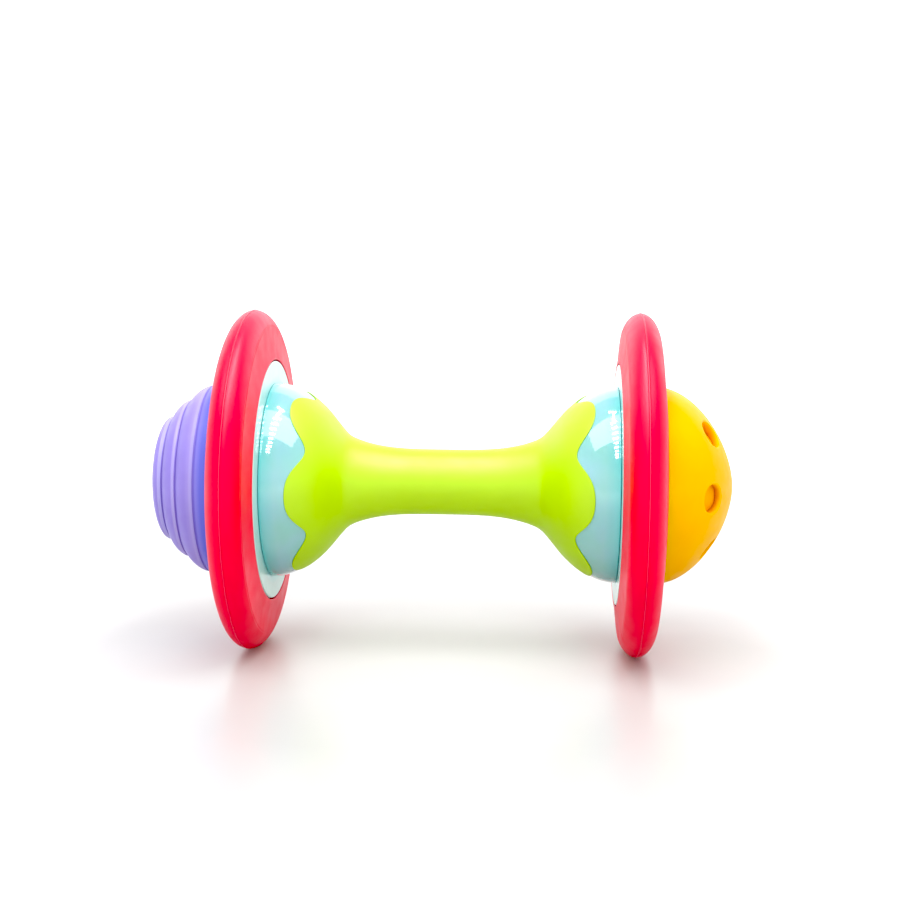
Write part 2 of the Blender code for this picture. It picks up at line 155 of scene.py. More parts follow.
# Ribbed dome, with its places as (radius, distance).
RIBBED_TIP = RIBBED_BOX_TIP - 0.8 * MM
TERRACE_FEET = [(25.2 * MM, 62.45 * MM), (21.25 * MM, 68.1 * MM), (16.75 * MM, 72.75 * MM)]
TERRACE_BULGES = [0.3 * MM, 0.55 * MM, 0.6 * MM]
TERRACE_BAND = 1.2 * MM
TERRACE_TAPER = 0.12 * MM            # from the foot of a level band to its edge
TERRACE_CREASE = 0.14 * MM
BASE_LIP = 2.0 * MM
SOCKET_DEPTH = 2.3 * MM
CHAMBER_RADIUS = 22.2 * MM
CHAMBER_FLOOR = 2.6 * MM             # above the top of the dome's base
CHAMBER_TIP_WALL = 2.4 * MM

# Perforated dome with its sound holes, and the bead capsule behind them, also as (radius, distance).
PERFORATED_TIP = PERFORATED_BOX_TIP - 0.5 * MM
PERFORATED_POWER = 2.0 / 1.7         # between a ball and a cone
HOLES = 6
HOLE_RADIUS = 3.6 * MM
HOLE_LIP = 0.7 * MM                  # radius of its rounded edge
HOLE_PLACE = (18.45 * MM, 70.05 * MM)
HOLE_TILT = math.radians(45.0)
HOLE_SEARCH = 6.0 * MM               # the dome's surface is this near to HOLE_PLACE
OUTER_BELT = (66.1 * MM, 73.7 * MM)  # the band of the dome that the holes are cut in
INNER_BELT = (64.3 * MM, 71.3 * MM)
CAPSULE_GAP = 0.06 * MM              # from the capsule to the drawn inside of the dome
CAPSULE_OUTSIDE = [
    (0.0, 73.6 * MM), (5.0 * MM, 73.2 * MM), (9.5 * MM, 72.2 * MM),
    (13.9 * MM, 69.9 * MM), (20.8 * MM, 63.2 * MM), (22.3 * MM, 61.5 * MM),
]
CAPSULE_INSIDE = [
    (21.2 * MM, 61.3 * MM), (19.9 * MM, 62.6 * MM), (13.1 * MM, 69.2 * MM),
    (9.0 * MM, 71.2 * MM), (4.8 * MM, 72.1 * MM), (0.0, 72.4 * MM),
]
CAPSULE_ROUNDING = 0.5 * MM

SEGMENTS = 288                       # round the axis

# Light. A radiance is how bright a surface looks, and 1 is white on the picture.
WALLS_TOP = math.radians(12.0)
CEILING_START = math.radians(40.0)
WALLS_RADIANCE = 1.2
CEILING_RADIANCE = 0.65
BLACK_LEVEL = 0.065


def smooth_step(low, high, value):
    t = min(max((value - low) / (high - low), 0.0), 1.0)
    return t * t * (3.0 - 2.0 * t)


def spread(start, end, steps):
    """Evenly spaced numbers from start to end, both included."""
    return [start + (end - start) * i / steps for i in range(steps + 1)]


def place(side, distance, radius, angle):
    """Point (x, y, z) at a distance towards one side, a radius, and an angle above the -Y direction."""
    return (WAIST_X + side * distance, -radius * math.cos(angle), AXIS_Z + radius * math.sin(angle))


# ---------------------------------------------------------------- outlines, as (radius, distance)

def bulged_arc(start, end, bulge, steps):
    """Points from start to end on a shallow curve that stands out from the chord by bulge."""
    run = (end[0] - start[0], end[1] - start[1])
    length = math.hypot(*run)
    outward = (run[1] / length, -run[0] / length)
    points = []
    for t in spread(0.0, 1.0, steps):
        lift = 4.0 * bulge * t * (1.0 - t)
        points.append((start[0] + run[0] * t + outward[0] * lift, start[1] + run[1] * t + outward[1] * lift))
    return points


def elliptic_arc(start, end, steps):
    """Quarter ellipse of (radius, distance): level with the axis at start, across it at end."""
    points = []
    for angle in spread(0.0, math.pi / 2, steps):
        radius = end[0] + (start[0] - end[0]) * math.cos(angle)
        distance = start[1] + (end[1] - start[1]) * math.sin(angle)
        points.append((radius, distance))
    return points


def rounded_corner(before, corner, after, setback, steps=5):
    """Points that replace a corner by a curve that starts and ends setback away from it."""
    def towards(point):
        length = math.dist(corner, point)
        share = setback / length
        return (corner[0] + (point[0] - corner[0]) * share, corner[1] + (point[1] - corner[1]) * share)

    first, last = towards(before), towards(after)
    points = []
    for t in spread(0.0, 1.0, steps):
        near, mid, far = (1 - t) ** 2, 2 * t * (1 - t), t * t
        points.append(tuple(near * a + mid * b + far * c for a, b, c in zip(first, corner, last)))
    return points


def outline(corners, closed):
    """Corners are (radius, distance, setback), where setback rounds the corner; long sides are split."""
    rounded = []
    count = len(corners)
    for index, (radius, distance, setback) in enumerate(corners):
        at_end = index in (0, count - 1) and not closed
        if setback == 0.0 or at_end:
            rounded.append((radius, distance))
            continue
        before = corners[index - 1][:2]
        after = corners[(index + 1) % count][:2]
        rounded += rounded_corner(before, (radius, distance), after, setback)
    return split_long_sides(rounded, closed)


def split_long_sides(points, closed, longest=1.2 * MM, guard=0.12 * MM):
    """Adds points to long sides, with one close to each end so that a corner's shading stays in it."""
    fine = []
    pairs = list(zip(points, points[1:]))
    if closed:
        pairs.append((points[-1], points[0]))
    for start, end in pairs:
        length = math.dist(start, end)
        shares = [0.0]
        if length > 4 * guard:
            steps = max(1, math.ceil((length - 2 * guard) / longest))
            shares += spread(guard / length, 1.0 - guard / length, steps)
        for share in shares:
            fine.append((start[0] + (end[0] - start[0]) * share, start[1] + (end[1] - start[1]) * share))
    if not closed:
        fine.append(points[-1])
    return fine


def with_setback(points, setback=0.0):
    """Corners for outline from plain points; without a setback they stay sharp."""
    return [(radius, distance, setback) for radius, distance in points]


# ---------------------------------------------------------------- mesh building

def ring_faces(first, second):
    """Quads between two closed rings of vertex indices."""
    count = len(first)
    return [(first[i], first[(i + 1) % count], second[(i + 1) % count], second[i]) for i in range(count)]


class Mesh:
    """Vertices and quads gathered ring by ring, then welded into one closed body."""

    def __init__(self):
        self.vertices = []
        self.faces = []

    def ring(self, points):
        """Adds the points of a closed ring and returns their indices."""
        start = len(self.vertices)
        self.vertices += points
        return list(range(start, len(self.vertices)))

    def skin(self, rings, closed=False):
        """Joins a row of rings; closed also joins the last one to the first."""
        indices = [self.ring(points) for points in rings]
        for first, second in zip(indices, indices[1:]):
            self.faces += ring_faces(first, second)
        if closed:
            self.faces += ring_faces(indices[-1], indices[0])

    def make(self, name):
        mesh = bpy.data.meshes.new(name)
        mesh.from_pydata(self.vertices, [], self.faces)
        welded = bmesh.new()
        welded.from_mesh(mesh)
        bmesh.ops.remove_doubles(welded, verts=welded.verts, dist=0.0005 * MM)
        bmesh.ops.recalc_face_normals(welded, faces=welded.faces)
        welded.to_mesh(mesh)
        welded.free()
        mesh.shade_smooth()
        return mesh


def add_piece(name, body_mesh, material, body, replaced):
    """Turns a gathered mesh into a piece that rides on a body and replaces one CAD node."""
    mesh = body_mesh.make(name)
    mesh.materials.append(material)
    piece = bpy.data.objects.new(name, mesh)
    bpy.context.scene.collection.objects.link(piece)
    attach(piece, body)
    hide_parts(replaced)


def turned(points, side, closed):
    """Closed body turned about the rattle's axis from an outline of (radius, distance)."""
    angles = [math.tau * i / SEGMENTS for i in range(SEGMENTS)]
    body = Mesh()
    body.skin([[place(side, d, r, angle) for angle in angles] for r, d in points], closed)
    return body


# ---------------------------------------------------------------- handle: grip and bells

def handle_radius(distance):
    """Outer radius of grip and bell together: a gently flared waist that runs into a rounded bell."""
    flare = (min(distance, FLARE_END) / FLARE_BY_1_MM) ** FLARE_POWER * MM
    waist = (WAIST_RADIUS + flare) / BELL_RADIUS
    reach = min(max(BELL_RIM - distance, 0.0) / BELL_DEPTH, 1.0)
    bell = (1.0 - reach ** BELL_POWERS[0]) ** BELL_POWERS[1]
    return BELL_RADIUS * (bell ** BELL_BLEND + waist ** BELL_BLEND) ** (1.0 / BELL_BLEND)


def handle_slope(distance):
    """Angle between the handle's surface and its axis."""
    step = 0.05 * MM
    if distance + step > BELL_RIM:
        return 0.0
    rise = handle_radius(distance + step) - handle_radius(distance - step)
    return math.atan2(rise, 2.0 * step)


def below_surface(distance, depth, ahead=0.0):
    """Point of (radius, distance) square below the handle's surface, moved ahead along it."""
    slope = handle_slope(distance)
    radius = handle_radius(distance) - depth * math.cos(slope) + ahead * math.sin(slope)
    return (radius, distance + depth * math.sin(slope) + ahead * math.cos(slope))


def grip_wall(distance):
    """Thickness of the grip."""
    return GRIP_WALL_WAIST + (GRIP_WALL_LIP - GRIP_WALL_WAIST) * smooth_step(*GRIP_THINS, distance)


def uncovered(distance):
    """0 under the grip, 1 where the bell's surface is level with the grip's."""
    return smooth_step(*BELL_EMERGES, distance)


def lobe_edge(angle):
    """Distance from the middle of the waist to the scalloped edge of the grip."""
    wave = LOBES * (angle - LOBE_TURN)
    return LOBE_MIDDLE + LOBE_HEIGHT * math.cos(wave) - LOBE_SHARPNESS * math.cos(2.0 * wave)


def grip_half_section(angle):
    """From the middle of the waist along the outside, round the lip and back along the inside."""
    lip_half = (LIP_PROUD - LIP_FILM) / 2
    edge = lobe_edge(angle) - lip_half
    distances = spread(0.5 * MM, GRIP_PLAIN_END, 31) + spread(GRIP_PLAIN_END, edge, 12)[1:]
    outside = []
    inside = []
    for distance in distances:
        outside.append(below_surface(distance, -LIP_PROUD * smooth_step(*LIP_RISES, distance)))
        bare = uncovered(distance)
        inside.append(below_surface(distance, grip_wall(distance) * (1.0 - bare) - LIP_FILM * bare))
    lip = []
    for turn in spread(0.0, math.pi, 8)[1:-1]:
        height = LIP_FILM + lip_half + lip_half * math.cos(turn)
        lip.append(below_surface(edge, -height, lip_half * math.sin(turn)))
    return outside + lip + list(reversed(inside))


def make_grip(material):
    body = Mesh()
    sections = []
    for angle in [math.tau * i / (2 * SEGMENTS) for i in range(2 * SEGMENTS)]:
        half = grip_half_section(angle)
        right = [place(RIGHT, d, r, angle) for r, d in half]
        left = [place(LEFT, d, r, angle) for r, d in reversed(half)]
        sections.append(right + left)
    body.skin(sections, closed=True)
    add_piece("grip_skin", body, material, "handle", "grip_sleeve")


def bell_outline():
    """Outside from the rim to the stem's end, then back along the inside."""
    edge_room = 0.35 * MM
    rounding = 0.15 * MM
    covered = [row * MM for row in range(1, 32)]
    bare = spread(BELL_EMERGES[0], BELL_RIM - edge_room, 26)
    outside = []
    for distance in covered + bare:
        depth = (grip_wall(distance) + CLEARANCE) * (1.0 - uncovered(distance))
        outside.append(below_surface(distance, depth))
    stem_outer = outside[0][0]
    stem_inner = stem_outer - STEM_WALL
    inside = [(stem_inner, STEM_MOUTH)]
    for distance in spread(*BELL_HOLLOW, 12):
        inside.append(below_surface(distance, grip_wall(distance) + CLEARANCE + BELL_WALL))
    mouth = BELL_RADIUS - BELL_RIM_WALL
    ledge = BELL_RIM - LEDGE_DEPTH
    rim = WHEEL_PLANE - WHEEL_HALF - RUNNING_GAP
    corners = with_setback([(mouth, rim), (BELL_RADIUS, rim)], rounding)
    corners += with_setback(reversed(outside))
    corners += with_setback([(stem_outer, STEM_END), (stem_inner, STEM_END), *inside])
    corners += with_setback([(mouth - LEDGE_WIDTH, ledge), (mouth, ledge)])
    return outline(corners, closed=True)


def make_bell(prefix, side, material):
    shell = turned(bell_outline(), side, closed=True)
    add_piece(f"{prefix}_bell_shell", shell, material, "handle", f"{prefix}_bell")


# ---------------------------------------------------------------- rings

def tread_curve(facing):
    """Half of the crowned tread, from the crease on one flank up to the parting line."""
    start = math.acos(CREASE_HALF / TREAD_HALF)
    points = []
    for angle in spread(start, TREAD_END, 22):
        radius = RING_RADIUS - TREAD_RISE * (1.0 - math.sin(angle))
        points.append((radius, WHEEL_PLANE + facing * TREAD_HALF * math.cos(angle)))
    return points


def flank_curve(facing):
    """Dished flank, from the hub's edge to the crease below the tread."""
    foot = (FLANK_FOOT, WHEEL_PLANE + facing * FLANK_FOOT_HALF)
    edge = (FLANK_EDGE, WHEEL_PLANE + facing * (CREASE_HALF + 0.05 * MM))
    crease = (CREASE_RADIUS, WHEEL_PLANE + facing * (CREASE_HALF - CREASE_DEPTH))
    return [*bulged_arc(foot, edge, facing * FLANK_DISH, 12), crease]


def tyre_outline():
    """Inner flank, crowned tread with its raised parting line, outer flank, and the hollow inside."""
    bore = HUB_RADIUS + CLEARANCE
    seam_top = RING_RADIUS + SEAM_HEIGHT
    seam = [
        (RING_RADIUS, -SEAM_HALF), (seam_top, -SEAM_HALF / 2),
        (seam_top, SEAM_HALF / 2), (RING_RADIUS, SEAM_HALF),
    ]
    slot = [SLOT_END, SLOT_FLOOR, (SLOT_FLOOR[0], -SLOT_FLOOR[1]), (SLOT_END[0], -SLOT_END[1])]
    corners = [(bore, WHEEL_PLANE - SLOT_HALF, 0.0), (bore, WHEEL_PLANE - WHEEL_HALF, TYRE_ROUNDING)]
    corners += with_setback(flank_curve(-1) + tread_curve(-1))
    corners += [(radius, WHEEL_PLANE + offset, 0.0) for radius, offset in seam]
    corners += with_setback(reversed(flank_curve(1) + tread_curve(1)))
    corners += [(bore, WHEEL_PLANE + WHEEL_HALF, TYRE_ROUNDING), (bore, WHEEL_PLANE + SLOT_HALF, 0.0)]
    corners += [(radius, WHEEL_PLANE + offset, 0.0) for radius, offset in slot]
    return outline(corners, closed=True)


def make_tyre(prefix, side, material):
    skin = turned(tyre_outline(), side, closed=True)
    add_piece(f"{prefix}_tyre_skin", skin, material, f"{prefix}_wheel", f"{prefix}_tyre")


def hub_outline(facing):
    """Hub disc; facing is -1 for the disc on the bell's side, 1 for the one on the dome's side."""
    face = WHEEL_PLANE + facing * WHEEL_HALF
    skin = WHEEL_PLANE + facing * (WHEEL_HALF - HUB_SKIN)
    tube_end = WHEEL_PLANE + TUBE_END
    flange_inside = WHEEL_PLANE + facing * FLANGE_INSIDE_HALF
    corners = [(HUB_BORE, face, 0.25 * MM), (HUB_RADIUS, face, 0.45 * MM)]
    corners += with_setback([
        (HUB_RADIUS, WHEEL_PLANE + facing * FLANGE_FOOT_HALF),
        (FLANGE_RADIUS, WHEEL_PLANE + facing * FLANGE_TIP_HALF),
        (FLANGE_RADIUS, flange_inside),
        (HUB_HOLLOW_RADIUS, flange_inside),
        (HUB_HOLLOW_RADIUS, skin),
    ])
    if facing < 0:
        boss = [(TUBE_RADIUS, skin), (TUBE_RADIUS, tube_end), (HUB_BORE, tube_end)]
    else:
        boss = [
            (COLLAR_OUTSIDE, skin), (COLLAR_OUTSIDE, WHEEL_PLANE), (COLLAR_INSIDE, WHEEL_PLANE),
            (COLLAR_INSIDE, skin), (HUB_BORE, skin),
        ]
    return outline(corners + with_setback(boss), closed=True)


def make_hub(prefix, side, facing, material):
    which = "inner" if facing < 0 else "outer"
    disc = turned(hub_outline(facing), side, closed=True)
    name = f"{prefix}_hub_{which}_disc"
    add_piece(name, disc, material, f"{prefix}_wheel", f"{prefix}_hub_{which}")


# ---------------------------------------------------------------- end domes

def ribbed_outside():
    """Three terraces, from the rim to the tip: each level band lies between a creased foot and an edge."""
    start = (DOME_RADIUS, DOME_RIM)
    corners = [(*start, DOME_ROUNDING)]
    for foot, bulge in zip(TERRACE_FEET, TERRACE_BULGES):
        radius, distance = foot
        edge = (radius - TERRACE_TAPER, distance + TERRACE_BAND)
        corners += with_setback(bulged_arc(start, foot, bulge, 12)[1:-1])
        corners += [
            (radius - TERRACE_CREASE, distance + TERRACE_CREASE, 0.1 * MM),
            (radius, distance + 3 * TERRACE_CREASE, 0.1 * MM),
            (*edge, 0.25 * MM),
        ]
        start = edge
    return corners + with_setback(elliptic_arc(start, (0.0, RIBBED_TIP), 40)[1:])


def ribbed_outline():
    """From the tip down the terraces to the rim, then up inside it to the roof of the chamber."""
    bore = DOME_RADIUS - DOME_RIM_WALL
    base_top = BASE_TIP - BASE_LIP
    chamber_foot = (CHAMBER_RADIUS, base_top + CHAMBER_FLOOR)
    corners = list(reversed(ribbed_outside()))
    corners += [(bore, DOME_RIM, DOME_ROUNDING), (bore, base_top + SOCKET_DEPTH, 0.0)]
    corners += with_setback(elliptic_arc(chamber_foot, (0.0, RIBBED_TIP - CHAMBER_TIP_WALL), 24))
    return outline(corners, closed=False)


def make_ribbed_dome(material):
    shell = turned(ribbed_outline(), LEFT, closed=False)
    add_piece("ribbed_dome_shell", shell, material, "handle", "ribbed_dome")


class Outline:
    """Outline of (radius, distance) with a radius for each distance."""

    def __init__(self, points):
        self.points = sorted(points, key=lambda point: point[1])

    def radius(self, distance):
        for (r0, d0), (r1, d1) in zip(self.points, self.points[1:]):
            if distance <= d1:
                return r0 + (r1 - r0) * max(distance - d0, 0.0) / (d1 - d0)
        return self.points[-1][0]

    def between(self, low, high):
        inner = [point for point in self.points if low < point[1] < high]
        return [(self.radius(low), low), *inner, (self.radius(high), high)]


def perforated_outside():
    """Blunt dome between a ball and a cone: a superellipse from its rim to its tip."""
    height = PERFORATED_TIP - DOME_RIM
    points = []
    for angle in spread(0.0, math.pi / 2, 90):
        radius = DOME_RADIUS * max(math.cos(angle), 0.0) ** PERFORATED_POWER
        points.append((radius, DOME_RIM + height * math.sin(angle) ** PERFORATED_POWER))
    return Outline(points)


def perforated_inside():
    """Close over the bead capsule, so that a sound hole shows its wall right down to the capsule."""
    tip, *rest = CAPSULE_OUTSIDE
    corners = [(tip[0], tip[1] + CAPSULE_GAP)]
    corners += [(radius + CAPSULE_GAP, distance + CAPSULE_GAP) for radius, distance in rest]
    return Outline(split_long_sides(corners, closed=False))


def hole_point(shape, hole_angle, turn, radius):
    """Where a line along a hole's axis, at a turn and radius round it, meets a shape's surface.

    The point is given as its radius from the rattle's axis, its distance and its angle.
    """
    middle_radius, middle_distance = HOLE_PLACE
    along = radius * math.sin(turn)
    sideways = radius * math.cos(turn)
    low, high = -HOLE_SEARCH, HOLE_SEARCH
    for _ in range(40):
        lift = (low + high) / 2
        outwards = middle_radius - along * math.sin(HOLE_TILT) + lift * math.cos(HOLE_TILT)
        distance = middle_distance + along * math.cos(HOLE_TILT) + lift * math.sin(HOLE_TILT)
        reach = math.hypot(outwards, sideways)
        if reach < shape.radius(distance):
            low = lift
        else:
            high = lift
    return (reach, distance, hole_angle + math.atan2(sideways, outwards))


def sector_border(hole_angle, low, high):
    """Rim of one sixth of a dome's belt, as (distance, angle), all the way round."""
    half = math.pi / HOLES
    angles = spread(hole_angle - half, hole_angle + half, SEGMENTS // HOLES)
    distances = spread(low, high, 24)
    border = [(low, angle) for angle in angles[:-1]]
    border += [(distance, angles[-1]) for distance in distances[:-1]]
    border += [(high, angle) for angle in reversed(angles[1:])]
    border += [(distance, angles[0]) for distance in reversed(distances[1:])]
    return border


def hole_turns(hole_angle, border):
    """Direction round the hole of each border point, so that lines from hole to border fan out evenly."""
    middle_radius, middle_distance = HOLE_PLACE
    turns = []
    for distance, angle in border:
        sideways = (angle - hole_angle) * middle_radius
        along = (distance - middle_distance) / math.cos(HOLE_TILT)
        turns.append(math.atan2(along, sideways))
    return turns


def fan(shape, hole_angle, turns, border, radius, steps):
    """Rings of points from a circle round a hole out to the border, on the shape's surface."""
    circle = [hole_point(shape, hole_angle, turn, radius) for turn in turns]
    rings = []
    for t in spread(0.0, 1.0, steps):
        share = t ** 1.5             # the rings crowd towards the hole
        ring = []
        for (reach, distance, angle), (end_distance, end_angle) in zip(circle, border):
            d = distance + (end_distance - distance) * share
            a = angle + (end_angle - angle) * share
            ring.append(place(RIGHT, d, reach if share == 0.0 else shape.radius(d), a))
        rings.append(ring)
    return rings


def sunk(reach, distance, angle, hole_angle, depth):
    """Point moved into the dome by depth along a hole's axis."""
    outwards = reach * math.cos(angle - hole_angle) - depth * math.cos(HOLE_TILT)
    sideways = reach * math.sin(angle - hole_angle)
    turned_angle = hole_angle + math.atan2(sideways, outwards)
    return place(RIGHT, distance - depth * math.sin(HOLE_TILT), math.hypot(outwards, sideways), turned_angle)


def hole_rings(outside, inside, hole_angle):
    """All rings of one sound hole: outer face, rounded lip, wall and inner face."""
    outer_border = sector_border(hole_angle, *OUTER_BELT)
    inner_border = sector_border(hole_angle, *INNER_BELT)
    turns = hole_turns(hole_angle, outer_border)
    rings = list(reversed(fan(outside, hole_angle, turns, outer_border, HOLE_RADIUS + HOLE_LIP, 14)))
    for roll in spread(0.0, math.pi / 2, 6)[1:]:
        radius = HOLE_RADIUS + HOLE_LIP * (1.0 - math.sin(roll))
        depth = HOLE_LIP * (1.0 - math.cos(roll))
        ring = []
        for turn in turns:
            reach, distance, angle = hole_point(outside, hole_angle, turn, radius)
            ring.append(sunk(reach, distance, angle, hole_angle, depth))
        rings.append(ring)
    return rings + fan(inside, hole_angle, turns, inner_border, HOLE_RADIUS, 8)


def perforated_rim(outside, foot):
    """Rows from the foot of the inside round the rim and up the outside to the belt of holes."""
    bore = DOME_RADIUS - DOME_RIM_WALL
    above_rim = DOME_RIM + DOME_ROUNDING
    corner = (DOME_RADIUS, DOME_RIM)
    rows = [foot, (bore, foot[1]), (bore, above_rim), (bore + DOME_ROUNDING, DOME_RIM)]
    rows += rounded_corner((bore, DOME_RIM), corner, (DOME_RADIUS, DOME_RIM + MM), DOME_ROUNDING)
    return rows + outside.between(above_rim, OUTER_BELT[0])[1:]


def make_perforated_dome(material):
    """Plain bands turned about the axis, and between them a belt of holes with the turn of the lobes."""
    outside = perforated_outside()
    inside = perforated_inside()
    foot = inside.points[0]
    angles = [LOBE_TURN - math.pi / HOLES + math.tau * i / SEGMENTS for i in range(SEGMENTS)]
    body = Mesh()
    for rows in (
        perforated_rim(outside, foot),
        outside.between(OUTER_BELT[1], outside.points[-1][1]),
        inside.between(foot[1], INNER_BELT[0]),
        inside.between(INNER_BELT[1], inside.points[-1][1]),
    ):
        body.skin([[place(RIGHT, d, r, angle) for angle in angles] for r, d in rows])
    for index in range(HOLES):
        body.skin(hole_rings(outside, inside, LOBE_TURN + math.tau * index / HOLES))
    add_piece("perforated_dome_shell", body, material, "handle", "perforated_dome")


def make_bead_capsule(material):
    """Smooth cup behind the sound holes, in the CAD capsule's place."""
    corners = with_setback(CAPSULE_OUTSIDE, CAPSULE_ROUNDING)
    corners += with_setback([(CAPSULE_OUTSIDE[-1][0], CAPSULE_FOOT), (CAPSULE_INSIDE[0][0], CAPSULE_FOOT)])
    corners += with_setback(CAPSULE_INSIDE, CAPSULE_ROUNDING)
    cup = turned(outline(corners, closed=False), RIGHT, closed=False)
    add_piece("bead_capsule_cup", cup, material, "handle", "bead_capsule")


# ---------------------------------------------------------------- materials

class Surface:
    """A node material on a Principled shader, with short helpers for its texture nodes.

    point is a place on the surface in metres, direction the way it faces there, body its base colour.
    """

    def __init__(self, name):
        self.material = bpy.data.materials.new(name)
        self.material.use_nodes = True
        self.tree = self.material.node_tree
        self.shader = self.tree.nodes["Principled BSDF"]
        coordinates = self.node("ShaderNodeTexCoord")
        self.point = coordinates.outputs["Object"]
        self.direction = coordinates.outputs["Normal"]
        self.body = None

    def node(self, kind, **values):
        node = self.tree.nodes.new(kind)
        for key, value in values.items():
            setattr(node, key, value)
        return node

    def link(self, output, target):
        self.tree.links.new(output, target)

    def set(self, **values):
        """Sets inputs of the shader by name, with _ for a space."""
        for key, value in values.items():
            self.shader.inputs[key.replace("_", " ")].default_value = value

    def noise(self, size, detail=3.0):
        """Noise whose lumps are about size across, in metres."""
        node = self.node("ShaderNodeTexNoise")
        node.inputs["Scale"].default_value = 1.0 / size
        node.inputs["Detail"].default_value = detail
        self.link(self.point, node.inputs["Vector"])
        return node.outputs["Fac"]

    def maths(self, operation, first, second=0.0):
        """Result of a maths node; first and second are numbers or sockets."""
        node = self.node("ShaderNodeMath", operation=operation)
        for socket, value in zip(node.inputs, (first, second)):
            if isinstance(value, float):
                socket.default_value = value
            else:
                self.link(value, socket)
        return node.outputs[0]

    def split(self, vector):
        node = self.node("ShaderNodeSeparateXYZ")
        self.link(vector, node.inputs[0])
        return node.outputs

    def off(self, value, middle):
        """How far a socket's value is from middle, either way."""
        return self.maths("ABSOLUTE", self.maths("SUBTRACT", value, middle))

    def from_middle(self):
        """Distance along the rattle from the middle of the waist."""
        return self.off(self.split(self.point)["X"], WAIST_X)

    def from_axis(self):
        """Distance from the rattle's axis."""
        parts = self.split(self.point)
        above = self.maths("SUBTRACT", parts["Z"], AXIS_Z)
        squares = [self.maths("MULTIPLY", value, value) for value in (parts["Y"], above)]
        return self.maths("SQRT", self.maths("ADD", *squares))

    def from_origin(self):
        """Distance from the point of the floor under the rattle's middle."""
        node = self.node("ShaderNodeVectorMath", operation="LENGTH")
        self.link(self.point, node.inputs[0])
        return node.outputs["Value"]

    def ranged(self, value, low, high, start=0.3, end=0.7):
        """Maps start..end to low..high; the defaults suit a noise."""
        node = self.node("ShaderNodeMapRange")
        node.inputs["From Min"].default_value = start
        node.inputs["From Max"].default_value = end
        node.inputs["To Min"].default_value = low
        node.inputs["To Max"].default_value = high
        self.link(value, node.inputs["Value"])
        return node.outputs["Result"]

    def mix(self, factor, first, second):
        """Colour mix by a factor socket; first and second are colours or sockets."""
        node = self.node("ShaderNodeMix", data_type="RGBA")
        self.link(factor, node.inputs["Factor"])
        for socket, colour in ((node.inputs[6], first), (node.inputs[7], second)):
            if isinstance(colour, tuple):
                socket.default_value = (*colour, 1.0)
            else:
                self.link(colour, socket)
        return node.outputs[2]

    def clouds(self, size, first, second, detail=3.0):
        """Drift between two colours in lumps about size across."""
        return self.mix(self.ranged(self.noise(size, detail), 0.0, 1.0), first, second)

    def colour(self, socket):
        """Sets the base colour, which tint can lay painted light and shade over."""
        self.body = socket
        self.link(socket, self.shader.inputs["Base Color"])

    def tint(self, factor, colour):
        """Lays a colour over the base colour by a factor socket."""
        self.colour(self.mix(factor, self.body, colour))

    def roughness(self, size, low, high):
        """Roughness that drifts from low to high in lumps about size across."""
        self.link(self.ranged(self.noise(size), low, high), self.shader.inputs["Roughness"])

    def bump(self, *layers):
        """Layers are (height socket, depth in metres), added one after another."""
        normal = None
        for height, depth in layers:
            node = self.node("ShaderNodeBump")
            node.inputs["Strength"].default_value = 1.0
            node.inputs["Distance"].default_value = depth
            self.link(height, node.inputs["Height"])
            if normal is not None:
                self.link(normal, node.inputs["Normal"])
            normal = node.outputs["Normal"]
        self.link(normal, self.shader.inputs["Normal"])


def tone(colour, factor):
    return tuple(min(channel * factor, 1.0) for channel in colour)


def soft_rubber(name, colour, roughness, specular, grain):
    """Matte moulded elastomer: slight tone drift, a fine grain and uneven sheen."""
    surface = Surface(name)
    surface.colour(surface.clouds(14 * MM, tone(colour, 0.96), tone(colour, 1.03)))
    surface.roughness(5 * MM, roughness - 0.04, roughness + 0.05)
    surface.set(Specular_IOR_Level=specular)
    surface.bump((surface.noise(grain, detail=2.0), 0.012 * MM), (surface.noise(9 * MM), 0.05 * MM))
    return surface


def satin_plastic(name, dark, light, roughness, specular=0.4):
    """Moulded plastic with a fine spark-eroded texture and a slow drift of tone."""
    surface = Surface(name)
    surface.colour(surface.clouds(11 * MM, dark, light))
    surface.roughness(2.5 * MM, roughness - 0.05, roughness + 0.05)
    surface.set(Specular_IOR_Level=specular)
    surface.bump((surface.noise(0.22 * MM, detail=2.0), 0.006 * MM), (surface.noise(8 * MM), 0.03 * MM))
    return surface


def make_grip_material():
    lime = (0.455, 0.755, 0.02)
    return soft_rubber("lime_soft_touch", lime, roughness=0.46, specular=0.9, grain=0.35 * MM).material


def make_tyre_material():
    """Red elastomer with a painted highlight along the raised parting line round the tread."""
    red = (0.92, 0.0, 0.05)
    seam_highlight_red = (0.94, 0.07, 0.13)
    surface = soft_rubber("red_soft_rubber", red, roughness=0.40, specular=0.6, grain=0.28 * MM)
    off_seam = surface.off(surface.from_middle(), WHEEL_PLANE)
    # painted highlight: the tread is tinted paler along its parting line
    painted_light_mask = surface.ranged(off_seam, 0.6, 0.0, start=SEAM_HALF / 2, end=SEAM_HALF)
    surface.tint(painted_light_mask, seam_highlight_red)
    return surface.material


